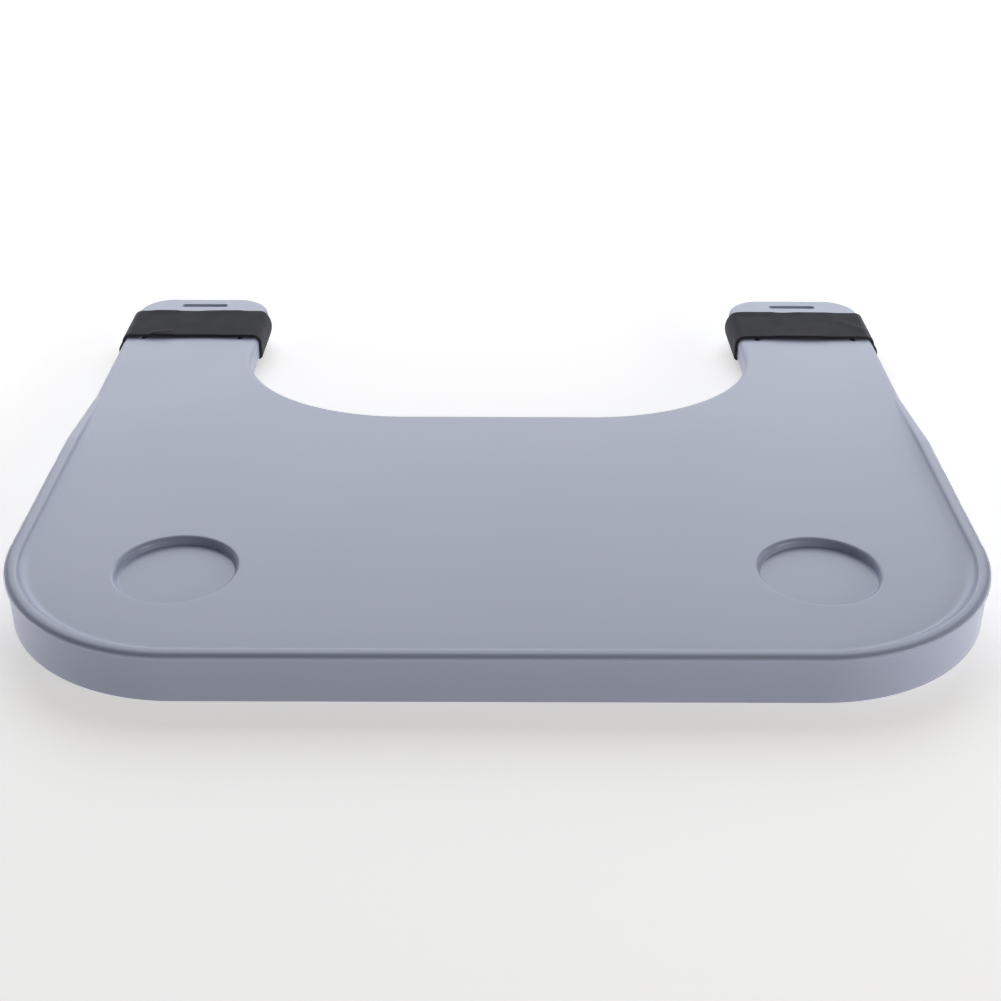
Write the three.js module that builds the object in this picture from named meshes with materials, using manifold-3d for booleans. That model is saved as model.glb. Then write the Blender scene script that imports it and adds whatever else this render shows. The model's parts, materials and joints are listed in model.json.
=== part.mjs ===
// A lap tray table for a wheelchair: one moulded plastic tray and two hook-and-loop
// straps, one round each arm. Lengths are millimetres, +Z is up, +X is to the right
// seen from the front, and +Y runs from the front edge to the arms, where the person
// sits. The origin is on the floor, under the middle of the whole part.

import * as THREE from 'three';
import { mergeVertices } from 'three/addons/utils/BufferGeometryUtils.js';
import Module from 'manifold-3d';

const wasm = await Module();
wasm.setup();

// The tray as a whole
const trayWidth = 610;
const trayDepth = 534;
const wall = 3.2;
const skirtDepth = 28;
const frontCornerRadius = 120;

// The raised rim round the front and both sides
const rimHeight = 5.5;
const beadOverhang = 1.5;
const beadWidth = 5.8;
const beadHeight = 2.9;
const beadInnerRadius = 3;
const beadUnderRadius = 1.2;
const beadUnderAngle = 75;
const creaseDepth = 0.3;
const creaseHeight = 1.1;
const creaseLipHeight = 0.7;
const rimWallAngle = 38;
const rimCoveRadius = 4;
const rimReach = 264;
const rampLength = 80;

// The arms and the cut-out between them
const armWidth = 108.5;
const armSkirtDepth = 16.5;
const tipRadius = 27;
const cutoutDepth = 222;
const cutoutCornerWidth = 125;
const cutoutCornerDepth = 108;
const edgeRadius = 5;

// Small radii of the moulding
const skirtEdgeRadius = 0.6;
const insideCornerRadius = 2;

// The two shallow cup recesses
const cupRadius = 39.7;
const cupDepth = 5;
const cupSideInset = 106.7;
const cupFrontInset = 99.5;
const cupLipRadius = 2;
const cupFootRadius = 1.2;
const cupWallDraft = 1.4;

// The strap slots in each arm
const tipSlotLength = 38;
const slotWidth = 5;
const tipSlotSetback = 16.5;
const sideSlotInset = 15.2;
const sideSlotPlay = 2;
const sideSlotLead = 1.5;

// The straps
const strapWidth = 50;
const strapThickness = 2.2;
const strapSetback = 59;
const strapBulge = 3.4;
const patchThickness = 1;
const strapTurnRadius = 3;
const gap = 0.3;
const tailLength = 88;
const tailRootInset = 4;
const tailCornerCut = 5;
const loopPatchLength = 80;
const loopPatchInset = 12;
const hookPatchLength = 62;
const hookPatchInset = 10;
const patchMargin = 1.5;

// How far a cutting body runs past the face it cuts
const overrun = 4;

// How finely curves are stepped
const cornerSteps = 18;
const tipSteps = 8;
const rampSteps = 6;
const cutoutSteps = 18;
const arcSteps = 4;
const beadSteps = 7;
const underSteps = 2;
const smallArcSteps = 2;
const cupSteps = 44;
const strapArcSteps = 6;
const strapSideSteps = 8;

// Values worked out from the sizes above
const wallHalfWidth = trayWidth / 2 - beadOverhang;
const front = beadOverhang;
const cornerRadius = frontCornerRadius - beadOverhang;
const armInner = wallHalfWidth - armWidth;
const armCentre = wallHalfWidth - armWidth / 2;
const cutoutFront = trayDepth - cutoutDepth;
const cornerWidth = Math.min(cutoutCornerWidth, armInner);
const cornerDepth = Math.min(cutoutCornerDepth, cutoutDepth - tipRadius);
const rimRadii = beadInnerRadius + rimCoveRadius;
const wallLean = THREE.MathUtils.degToRad(rimWallAngle);
const rimWallRun = (rimRadii + (rimHeight - rimRadii) * Math.sin(wallLean)) / Math.cos(wallLean);
const crestInset = beadWidth - beadOverhang;
const flatInset = crestInset + rimWallRun;
const rampEnd = rimReach + rampLength;

// A deep skirt and a full rim as far as rimReach, then both ramp away along the side.
function rampShare(y) {
  return THREE.MathUtils.clamp((rampEnd - y) / rampLength, 0, 1);
}

// Points on a quarter of an ellipse, each with its outward normal in the plan.
function quarter(cx, cy, rx, ry, from, to, steps, side) {
  const points = [];
  for (let i = 0; i <= steps; i += 1) {
    const angle = THREE.MathUtils.degToRad(from + ((to - from) * i) / steps);
    const normal = new THREE.Vector2(Math.cos(angle) / rx, Math.sin(angle) / ry).normalize();
    points.push({
      x: cx + rx * Math.cos(angle),
      y: cy + ry * Math.sin(angle),
      nx: side * normal.x,
      ny: side * normal.y,
    });
  }
  return points;
}

// The right half of the tray's plan at the skirt's outer face, from the front to the cut-out.
function halfOutline() {
  const tipY = trayDepth - tipRadius;
  const frontCorner = quarter(wallHalfWidth - cornerRadius, front + cornerRadius,
    cornerRadius, cornerRadius, -90, 0, cornerSteps, 1);
  const outerTip = quarter(wallHalfWidth - tipRadius, tipY, tipRadius, tipRadius, 0, 90, tipSteps, 1);
  const innerTip = quarter(armInner + tipRadius, tipY, tipRadius, tipRadius, 90, 180, tipSteps, 1);
  const cutoutCorner = quarter(armInner - cornerWidth, cutoutFront + cornerDepth,
    cornerWidth, cornerDepth, 0, -90, cutoutSteps, -1);
  const ramp = stretch([wallHalfWidth, rimReach], [wallHalfWidth, rampEnd], rampSteps)
    .map(([x, y]) => ({ x, y, nx: 1, ny: 0 }));
  return [
    ...[...frontCorner, ...ramp].map((p) => ({ ...p, share: rampShare(p.y) })),
    ...[...outerTip, ...innerTip, ...cutoutCorner].map((p) => ({ ...p, share: 0 })),
  ];
}

// The whole plan, anticlockwise seen from above, with the rim's share at each point.
function trayOutline() {
  const right = halfOutline();
  const left = right.map((p) => ({ ...p, x: -p.x, nx: -p.nx })).reverse();
  return [...right, ...left];
}

// An arc in the section, as [inset, height] pairs.
function arc(inset, height, radius, from, to, steps) {
  const points = [];
  for (let i = 0; i <= steps; i += 1) {
    const angle = THREE.MathUtils.degToRad(from + ((to - from) * i) / steps);
    points.push([inset + radius * Math.cos(angle), height + radius * Math.sin(angle)]);
  }
  return points;
}

// Points spread evenly along a straight stretch of the section.
function stretch(start, end, steps) {
  const points = [];
  for (let i = 0; i <= steps; i += 1) {
    const t = i / steps;
    points.push([start[0] + (end[0] - start[0]) * t, start[1] + (end[1] - start[1]) * t]);
  }
  return points;
}

// The section's upper part over the rim: cove, leaning inner wall and round shoulder up to the
// crest, a bead that falls off outwards as a quarter of an ellipse, and the crease under it.
function rimSection() {
  const level = rimHeight - beadHeight;
  const underEnd = 180 + beadUnderAngle;
  const under = arc(beadUnderRadius - beadOverhang, level, beadUnderRadius, 180, underEnd, underSteps);
  const quarter = arc(0, 0, 1, 90, 180, beadSteps);
  return [
    ...arc(flatInset, rimCoveRadius, rimCoveRadius, 270, 180 + rimWallAngle, arcSteps),
    ...arc(crestInset, rimHeight - beadInnerRadius, beadInnerRadius, rimWallAngle, 90, arcSteps),
    ...quarter.slice(1).map((p) => [crestInset + p[0] * beadWidth, level + p[1] * beadHeight]),
    ...under.slice(1),
    [creaseDepth, creaseHeight],
    [0, creaseLipHeight],
  ];
}

// The same number of points over a plain rounded edge, as on the arms and the cut-out.
function edgeSection() {
  return [
    ...stretch([flatInset, 0], [(flatInset + edgeRadius) / 2, 0], arcSteps),
    ...stretch([(flatInset * 2 + edgeRadius * 3) / 5, 0], [edgeRadius + wall / 4, 0], arcSteps),
    ...arc(edgeRadius, -edgeRadius, edgeRadius, 90, 180, beadSteps + underSteps - 1),
    [0, -edgeRadius - wall / 2],
    [0, -edgeRadius - wall],
  ];
}

// The section below the edge: down the skirt, round its foot, up inside and out to the underside.
function skirtSection(depth) {
  const r = skirtEdgeRadius;
  return [
    ...arc(r, -depth + r, r, 180, 270, 1),
    ...arc(wall - r, -depth + r, r, 270, 360, 1),
    ...arc(wall + insideCornerRadius, -wall - insideCornerRadius, insideCornerRadius, 180, 90, smallArcSteps),
  ];
}

// The whole section at a point of the plan, blended between the plain edge and the full rim.
function sectionAt(share) {
  const rim = rimSection();
  const edge = edgeSection();
  const top = rim.map((p, i) => [
    edge[i][0] + (p[0] - edge[i][0]) * share,
    edge[i][1] + (p[1] - edge[i][1]) * share,
  ]);
  return [...top, ...skirtSection(armSkirtDepth + (skirtDepth - armSkirtDepth) * share)];
}

// A closed mesh from rings of points, each ring joined to the next and both ends capped flat.
function ringStack(rings) {
  const count = rings[0].length;
  const positions = rings.flat().flatMap((p) => [p.x, p.y, p.z]);
  const index = [];
  for (let k = 0; k < rings.length - 1; k += 1) {
    for (let i = 0; i < count; i += 1) {
      const j = (i + 1) % count;
      const a = k * count + i;
      const b = k * count + j;
      const c = a + count;
      const d = b + count;
      index.push(a, c, b, b, c, d);
    }
  }
  const cap = (ring, base, flip) => {
    const contour = ring.map((p) => new THREE.Vector2(p.x, p.y));
    THREE.ShapeUtils.triangulateShape(contour, []).forEach(([a, b, c]) => {
      index.push(...(flip ? [base + a, base + c, base + b] : [base + a, base + b, base + c]));
    });
  };
  cap(rings[0], 0, false);
  cap(rings.at(-1), (rings.length - 1) * count, true);
  const geometry = new THREE.BufferGeometry();
  geometry.setAttribute('position', new THREE.Float32BufferAttribute(positions, 3));
  geometry.setIndex(index);
  return geometry;
}

// The tray without its recesses and slots.
function trayBody() {
  const outline = trayOutline();
  const sections = outline.map((p) => sectionAt(p.share));
  const rings = sections[0].map((_, k) => outline.map((p, i) => {
    const [inset, height] = sections[i][k];
    return new THREE.Vector3(p.x - p.nx * inset, p.y - p.ny * inset, height);
  }));
  return ringStack(rings);
}

// A geometry as a solid that can be joined and cut.
function solid(geometry) {
  const bare = geometry.clone();
  bare.deleteAttribute('normal');
  bare.deleteAttribute('uv');
  const merged = mergeVertices(bare);
  return new wasm.Manifold(new wasm.Mesh({
    numProp: 3,
    vertProperties: new Float32Array(merged.attributes.position.array),
    triVerts: new Uint32Array(merged.index.array),
  }));
}

// A solid turned back into a geometry for a mesh.
function toGeometry(manifold) {
  const mesh = manifold.getMesh();
  const geometry = new THREE.BufferGeometry();
  geometry.setAttribute('position', new THREE.Float32BufferAttribute(mesh.vertProperties, 3));
  geometry.setIndex(Array.from(mesh.triVerts));
  geometry.computeVertexNormals();
  return geometry;
}

// A turned shape with its axis upright: the profile is [radius, height] pairs from axis to axis.
function turned(profile) {
  const points = profile.map(([radius, height]) => new THREE.Vector2(radius, height));
  const geometry = new THREE.LatheGeometry(points, cupSteps);
  geometry.rotateX(Math.PI / 2);
  return geometry;
}

// What is cut out of the tray for a cup: lip, drafted wall, foot and floor.
function cupRecess() {
  const footRadius = cupRadius - cupLipRadius - cupWallDraft;
  return turned([
    [0, -cupDepth],
    ...arc(footRadius - cupFootRadius, cupFootRadius - cupDepth, cupFootRadius, 270, 360, smallArcSteps),
    ...arc(cupRadius, -cupLipRadius, cupLipRadius, 180, 90, arcSteps),
    [cupRadius, overrun],
    [0, overrun],
  ]);
}

// The bulge under a cup recess, which keeps the wall's thickness.
function cupBulge() {
  const outer = cupRadius - cupWallDraft + wall - cupLipRadius / 2;
  return turned([
    [0, -cupDepth - wall],
    ...arc(outer - insideCornerRadius, insideCornerRadius - cupDepth - wall, insideCornerRadius, 270, 345, smallArcSteps),
    [cupRadius + wall / 2, -wall / 2],
    [0, -wall / 2],
  ]);
}

// A slot with round ends, long along Y, tall enough to pass right through the tray's top.
function slotCutter(length) {
  const radius = slotWidth / 2;
  const straight = (length - slotWidth) / 2;
  const shape = new THREE.Shape();
  shape.absarc(0, straight, radius, 0, Math.PI, false);
  shape.absarc(0, -straight, radius, Math.PI, Math.PI * 2, false);
  const geometry = new THREE.ExtrudeGeometry(shape, {
    depth: wall + overrun * 2,
    bevelEnabled: false,
    curveSegments: arcSteps,
  });
  geometry.translate(0, 0, -wall - overrun);
  return geometry;
}

// The moulded tray: rim, skirt, cup recesses and strap slots in one piece.
function trayShell() {
  let body = solid(trayBody());
  const cupX = trayWidth / 2 - cupSideInset;
  const strapY = trayDepth - strapSetback;
  [-1, 1].forEach((side) => {
    body = body.add(solid(cupBulge().translate(side * cupX, cupFrontInset, 0)));
    body = body.subtract(solid(cupRecess().translate(side * cupX, cupFrontInset, 0)));
    const tipSlot = slotCutter(tipSlotLength).rotateZ(Math.PI / 2);
    tipSlot.translate(side * armCentre, trayDepth - tipSlotSetback, 0);
    body = body.subtract(solid(tipSlot));
    [-1, 1].forEach((edge) => {
      const sideSlot = slotCutter(strapWidth + sideSlotPlay);
      const slotX = side * armCentre + edge * (armWidth / 2 - sideSlotInset);
      sideSlot.translate(slotX, strapY - sideSlotLead, 0);
      body = body.subtract(solid(sideSlot));
    });
  });
  return toGeometry(body);
}

// Heights of the strap's layers under an arm, from the skirt's foot down, at mid-thickness.
const lowerRun = -armSkirtDepth - gap - strapThickness / 2;
const loopPatchLevel = lowerRun - strapThickness / 2 - gap - patchThickness / 2;
const hookPatchLevel = loopPatchLevel - gap - patchThickness;
const tailLevel = hookPatchLevel - patchThickness / 2 - gap - strapThickness / 2;
const tailRoot = armWidth / 2 - tailRootInset;

// The middle line of the strap round an arm, seen from the front, with +u away from the tray's middle.
function bandLine() {
  const half = armWidth / 2;
  const off = gap + strapThickness / 2;
  const topRadius = edgeRadius + off;
  const footRadius = skirtEdgeRadius + off;
  const sideTop = -edgeRadius;
  const sideFoot = tailLevel + strapTurnRadius;
  const line = [[half - wall / 2, lowerRun]];
  line.push(...arc(footRadius - half - off, lowerRun + footRadius, footRadius, 270, 180, strapArcSteps));
  line.push(...arc(edgeRadius - half, sideTop, topRadius, 180, 90, strapArcSteps));
  line.push(...arc(half - edgeRadius, sideTop, topRadius, 90, 0, strapArcSteps));
  for (let i = 1; i < strapSideSteps; i += 1) {
    const share = i / strapSideSteps;
    const bulge = strapBulge * Math.sin(Math.PI * share);
    line.push([half + off + bulge, sideTop + (sideFoot - sideTop) * share]);
  }
  line.push(...arc(half + off - strapTurnRadius, sideFoot, strapTurnRadius, 0, -90, strapArcSteps));
  line.push([tailRoot + gap, tailLevel]);
  return line.map(([u, z]) => new THREE.Vector2(u, z));
}

// A ribbon of even thickness along a line, as a closed outline.
function ribbon(line, thickness) {
  const offset = (point, i, sign) => {
    const before = line[Math.max(i - 1, 0)];
    const after = line[Math.min(i + 1, line.length - 1)];
    const normal = new THREE.Vector2(before.y - after.y, after.x - before.x).normalize();
    return point.clone().addScaledVector(normal, (sign * thickness) / 2);
  };
  const inner = line.map((p, i) => offset(p, i, 1));
  const outer = line.map((p, i) => offset(p, i, -1));
  return new THREE.Shape([...inner, ...outer.reverse()]);
}

// A section drawn across the tray, made into a solid as long as a stretch of the arm.
function alongArm(shape, length) {
  const geometry = new THREE.ExtrudeGeometry(shape, { depth: length, bevelEnabled: false });
  geometry.rotateX(Math.PI / 2);
  geometry.translate(0, length / 2, 0);
  return geometry;
}

// A flat piece of tape from one place across the arm to another, centred on its level.
function flatTape(from, to, level, width, thickness, cornerCut) {
  const half = width / 2;
  const shape = new THREE.Shape([
    new THREE.Vector2(from + cornerCut, -half),
    new THREE.Vector2(to, -half),
    new THREE.Vector2(to, half),
    new THREE.Vector2(from + cornerCut, half),
    ...(cornerCut > 0 ? [new THREE.Vector2(from, half - cornerCut)] : []),
    ...(cornerCut > 0 ? [new THREE.Vector2(from, cornerCut - half)] : []),
  ]);
  const geometry = new THREE.ExtrudeGeometry(shape, { depth: thickness, bevelEnabled: false });
  geometry.translate(0, 0, level - thickness / 2);
  return geometry;
}

// Moves what is drawn for the right arm to its arm, mirrored for the left one.
function placed(geometry, side) {
  const result = solid(geometry).translate([armCentre, trayDepth - strapSetback, 0]);
  return toGeometry(side > 0 ? result : result.mirror([1, 0, 0]));
}

const plastic = { color: 0xa9abbd, roughness: 0.5, metalness: 0 };
const webbing = { color: 0x3c3c41, roughness: 0.95, metalness: 0 };
const loopPile = { color: 0x2e2e33, roughness: 1, metalness: 0 };
const hookTape = { color: 0x232327, roughness: 0.7, metalness: 0 };

function piece(name, geometry, finish) {
  const mesh = new THREE.Mesh(geometry, new THREE.MeshStandardMaterial(finish));
  mesh.name = name;
  return mesh;
}

// The four pieces of one strap.
function strap(label, side) {
  const group = new THREE.Group();
  const patchWidth = strapWidth - patchMargin * 2;
  const loopTo = armWidth / 2 - loopPatchInset;
  const hookTo = tailRoot - hookPatchInset;
  const band = alongArm(ribbon(bandLine(), strapThickness), strapWidth);
  const tail = flatTape(tailRoot - tailLength, tailRoot, tailLevel, strapWidth, strapThickness, tailCornerCut);
  const loop = flatTape(loopTo - loopPatchLength, loopTo, loopPatchLevel, patchWidth, patchThickness, 0);
  const hook = flatTape(hookTo - hookPatchLength, hookTo, hookPatchLevel, patchWidth, patchThickness, 0);
  group.add(piece(`${label}_strap_band`, placed(band, side), webbing));
  group.add(piece(`${label}_strap_tail`, placed(tail, side), webbing));
  group.add(piece(`${label}_strap_loop_patch`, placed(loop, side), loopPile));
  group.add(piece(`${label}_strap_hook_patch`, placed(hook, side), hookTape));
  return group;
}

const group = new THREE.Group();
group.add(piece('tray_shell', trayShell(), plastic));
group.add(strap('left', -1));
group.add(strap('right', 1));
group.position.set(0, -trayDepth / 2, skirtDepth);

export default group;
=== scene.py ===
"""The looks of a wheelchair tray table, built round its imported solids.

The object is one moulded plastic tray, with a rolled rim, two shallow cup recesses and
slotted arms, and two soft black hook-and-loop straps, one round each arm.

Every length is in metres. +X is to the right seen from the front edge, +Y runs from the
front edge to the arms, +Z is up, and the origin is on the floor under the middle of the
part. A strap's section is drawn in (u, z): u runs from the middle of its arm away from the
middle of the tray, and z is measured from the tray's flat top.
"""

import json
import logging
import math
from dataclasses import dataclass, field
from enum import Enum

import bmesh
import bpy
import numpy as np
from mathutils import Matrix, Vector
from mathutils.geometry import delaunay_2d_cdt

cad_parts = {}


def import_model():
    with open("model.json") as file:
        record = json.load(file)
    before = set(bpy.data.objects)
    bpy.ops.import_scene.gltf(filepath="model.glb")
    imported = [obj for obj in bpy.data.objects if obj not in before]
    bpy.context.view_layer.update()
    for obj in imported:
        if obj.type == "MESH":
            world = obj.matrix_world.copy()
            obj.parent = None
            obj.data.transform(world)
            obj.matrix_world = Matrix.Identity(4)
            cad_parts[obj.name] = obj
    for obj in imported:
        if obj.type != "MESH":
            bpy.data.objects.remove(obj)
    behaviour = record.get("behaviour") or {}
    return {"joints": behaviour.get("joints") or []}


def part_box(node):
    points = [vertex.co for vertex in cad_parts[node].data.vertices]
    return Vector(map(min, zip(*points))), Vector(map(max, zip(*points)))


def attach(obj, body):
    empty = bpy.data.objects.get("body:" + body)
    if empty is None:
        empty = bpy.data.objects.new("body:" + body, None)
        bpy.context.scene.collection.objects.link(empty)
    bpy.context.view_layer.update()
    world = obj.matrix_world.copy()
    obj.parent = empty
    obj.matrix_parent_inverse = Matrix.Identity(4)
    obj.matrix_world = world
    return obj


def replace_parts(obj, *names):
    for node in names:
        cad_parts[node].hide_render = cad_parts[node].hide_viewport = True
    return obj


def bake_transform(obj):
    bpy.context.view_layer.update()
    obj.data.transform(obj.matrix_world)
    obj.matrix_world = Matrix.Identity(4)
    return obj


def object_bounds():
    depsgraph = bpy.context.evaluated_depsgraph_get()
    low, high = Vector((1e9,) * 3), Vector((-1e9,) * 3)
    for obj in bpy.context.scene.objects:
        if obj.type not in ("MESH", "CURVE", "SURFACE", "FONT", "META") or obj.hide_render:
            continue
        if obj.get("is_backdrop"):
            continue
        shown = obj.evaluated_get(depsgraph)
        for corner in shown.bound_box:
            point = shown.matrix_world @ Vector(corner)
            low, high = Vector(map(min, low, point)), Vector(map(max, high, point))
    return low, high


MM = 0.001

# Points of a mesh nearer to each other than this become one.
WELD = 0.002 * MM

# The same for the flat patches' corners, and the kind of cut that fills the border alone.
CUT_TOLERANCE = WELD / 10
CUT_INSIDE_BORDERS = 1

# An edge between two faces that meet at more than this angle is shaded sharp.
CREASE_ANGLE = math.radians(50)

# Nearly all of a soft noise lies between these values.
NOISE_RANGE = (0.3, 0.7)

Array = np.ndarray
Pair = tuple[float, float]
Colour = tuple[float, float, float, float]
Socket = bpy.types.NodeSocket

log = logging.getLogger("tray_table")


class Side(Enum):
    """The two sides of the tray, with the sign of X on each."""

    LEFT = -1.0
    RIGHT = 1.0

    @property
    def label(self) -> str:
        """The side's name as it stands in the names of nodes and bodies."""
        return self.name.lower()


class Along(Enum):
    """The direction that a slot is long in."""

    X = 0
    Y = 1


def arc(centre: Pair, radius: float, start: float, end: float, steps: int) -> Array:
    """Points on an arc: centre + radius * (cos a, sin a), with a spread evenly.

    Args:
        centre: The arc's centre.
        radius: Its radius.
        start: The first angle, in degrees.
        end: The last angle, in degrees.
        steps: How many steps lie between them.

    Returns:
        An array of steps + 1 rows.
    """
    angle = np.radians(np.linspace(start, end, steps + 1))
    return np.stack([centre[0] + radius * np.cos(angle), centre[1] + radius * np.sin(angle)], axis=1)


def straight(start: Pair, end: Pair, steps: int) -> Array:
    """Evenly spaced points on a line: start * (1 - t) + end * t.

    Args:
        start: The first point.
        end: The last point.
        steps: How many steps lie between them.

    Returns:
        An array of steps + 1 rows.
    """
    share = np.linspace(0.0, 1.0, steps + 1)[:, None]
    return np.asarray(start) * (1.0 - share) + np.asarray(end) * share


def run_length(line: Array) -> Array:
    """How far along a line each of its points lies: the running sum of the steps' lengths."""
    return np.concatenate([[0.0], np.cumsum(np.linalg.norm(np.diff(line, axis=0), axis=1))])


def smooth(value: Array, low: float, high: float) -> Array:
    """A smooth step from 0 at low to 1 at high: 3 t t - 2 t t t."""
    share = np.clip((value - low) / (high - low), 0.0, 1.0)
    return share * share * (3.0 - 2.0 * share)


def turned(profile: Array, centre: tuple[float, float, float], steps: int) -> Array:
    """A profile turned about an upright axis: centre + (r cos a, r sin a, z).

    Args:
        profile: Rows of radius and height.
        centre: The axis's x and y, and the height that the profile's is measured from.
        steps: How many points lie on a turn.

    Returns:
        An array of profile points x turn points x 3.
    """
    turn = arc((0.0, 0.0), 1.0, 0, 360, steps)[:-1]
    plan = np.asarray(centre[:2]) + profile[:, None, 0:1] * turn[None]
    height = np.broadcast_to(profile[:, None, 1:2] + centre[2], (*plan.shape[:2], 1))
    return np.concatenate([plan, height], axis=-1)


def grid_faces(rows: int, columns: int, closed: bool) -> Array:
    """Quads between the neighbours of a grid whose points are numbered row by row.

    Args:
        rows: The grid's rows.
        columns: Its columns.
        closed: Whether the last column joins the first.

    Returns:
        An array of quads, four point numbers in each.
    """
    first = np.arange(columns if closed else columns - 1)
    second = (first + 1) % columns
    base = (np.arange(rows - 1) * columns)[:, None]
    quads = [base + first, base + second, base + columns + second, base + columns + first]
    return np.stack(quads, axis=-1).reshape(-1, 4)


def inside(points: Array, loop: Array) -> Array:
    """Which points lie inside a closed loop: those from which an odd count of edges lies to +X.

    Args:
        points: The points to test, one in a row.
        loop: The loop's points in order.

    Returns:
        A truth value for each point.
    """
    start, end = loop, np.roll(loop, -1, axis=0)
    y = points[:, 1:2]
    crossed = (start[:, 1] <= y) != (end[:, 1] <= y)
    rise = np.where(start[:, 1] == end[:, 1], 1.0, end[:, 1] - start[:, 1])
    x = start[:, 0] + (y - start[:, 1]) / rise * (end[:, 0] - start[:, 0])
    return (crossed & (x > points[:, 0:1])).sum(axis=1) % 2 == 1


class Surface:
    """Patches of surface that become one closed mesh, welded where their borders meet."""

    def __init__(self) -> None:
        """Starts with no patch."""
        self.points: list[Array] = []
        self.uvs: list[Array] = []
        self.faces: list[list[int]] = []
        self.count = 0

    def add(self, points: Array, faces: Array, uv: Array | None = None) -> None:
        """Adds a patch.

        Args:
            points: Its points, in an array whose last axis is x, y, z.
            faces: Its faces, as numbers of those points.
            uv: The points' places on the cloth, in metres, for a woven piece.
        """
        flat = points.reshape(-1, 3)
        self.points.append(flat)
        self.faces.extend((faces + self.count).tolist())
        self.uvs.append(np.zeros((len(flat), 2)) if uv is None else uv.reshape(-1, 2))
        self.count += len(flat)

    def add_grid(self, points: Array, closed: bool = False, uv: Array | None = None) -> None:
        """Adds a patch whose points stand in rows and columns."""
        self.add(points, grid_faces(points.shape[0], points.shape[1], closed), uv)

    def add_plane(self, outer: Array, holes: list[Array], height: float) -> None:
        """Adds a flat patch with holes, cut into triangles by constrained Delaunay.

        Args:
            outer: The border, as x, y rows.
            holes: The border of each hole.
            height: The plane's z.
        """
        loops = [outer, *holes]
        starts = np.cumsum([0] + [len(loop) for loop in loops[:-1]])
        rims = [np.stack([np.arange(len(p)), (np.arange(len(p)) + 1) % len(p)], axis=1) for p in loops]
        edges = np.concatenate([rim + start for rim, start in zip(rims, starts)])
        corners = [Vector(p) for p in np.concatenate(loops)]
        cut = delaunay_2d_cdt(corners, edges.tolist(), [], CUT_INSIDE_BORDERS, CUT_TOLERANCE)
        flat, triangles = np.array(cut[0]), np.array(cut[2])
        middle = flat[triangles].mean(axis=1)
        kept = inside(middle, outer) & ~np.any([inside(middle, hole) for hole in holes], axis=0)
        self.add(np.column_stack([flat, np.full(len(flat), height)]), triangles[kept])

    def add_copies(self, points: Array, faces: Array, places: Array, axes: Array) -> None:
        """Adds one small shape many times: place + x * first axis + y * second + z * third.

        Args:
            points: The shape's own points.
            faces: Its faces.
            places: Where each copy stands.
            axes: Three axes for each copy, an array of copies x 3 x 3.
        """
        copies = places[:, None, :] + np.einsum("vi,cij->cvj", points, axes)
        shift = (np.arange(len(places)) * len(points))[:, None, None]
        self.add(copies, (faces[None] + shift).reshape(-1, faces.shape[1]))

    def build(self, name: str) -> bpy.types.Object:
        """Welds the patches, turns the faces outwards and links the object to the scene.

        Args:
            name: The new object's name.

        Returns:
            The object, at the origin, with its place in its mesh.
        """
        mesh = bpy.data.meshes.new(name)
        mesh.from_pydata(np.concatenate(self.points).tolist(), [], self.faces)
        corners = np.empty(len(mesh.loops), np.int32)
        mesh.loops.foreach_get("vertex_index", corners)
        layer = mesh.uv_layers.new(name="UVMap")
        layer.data.foreach_set("uv", np.concatenate(self.uvs)[corners].astype(np.float32).ravel())
        work = bmesh.new()
        work.from_mesh(mesh)
        bmesh.ops.remove_doubles(work, verts=work.verts, dist=WELD)
        loose = [v for v in work.verts if not v.link_faces]
        bmesh.ops.delete(work, geom=loose, context="VERTS")
        bmesh.ops.recalc_face_normals(work, faces=work.faces)
        open_edges = sum(not edge.is_manifold for edge in work.edges)
        work.to_mesh(mesh)
        work.free()
        mesh.shade_smooth()
        mesh.set_sharp_from_angle(angle=CREASE_ANGLE)
        made = bpy.data.objects.new(name, mesh)
        bpy.context.scene.collection.objects.link(made)
        log.info("%s: %d faces, %d open edges", name, len(mesh.polygons), open_edges)
        return made


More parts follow.
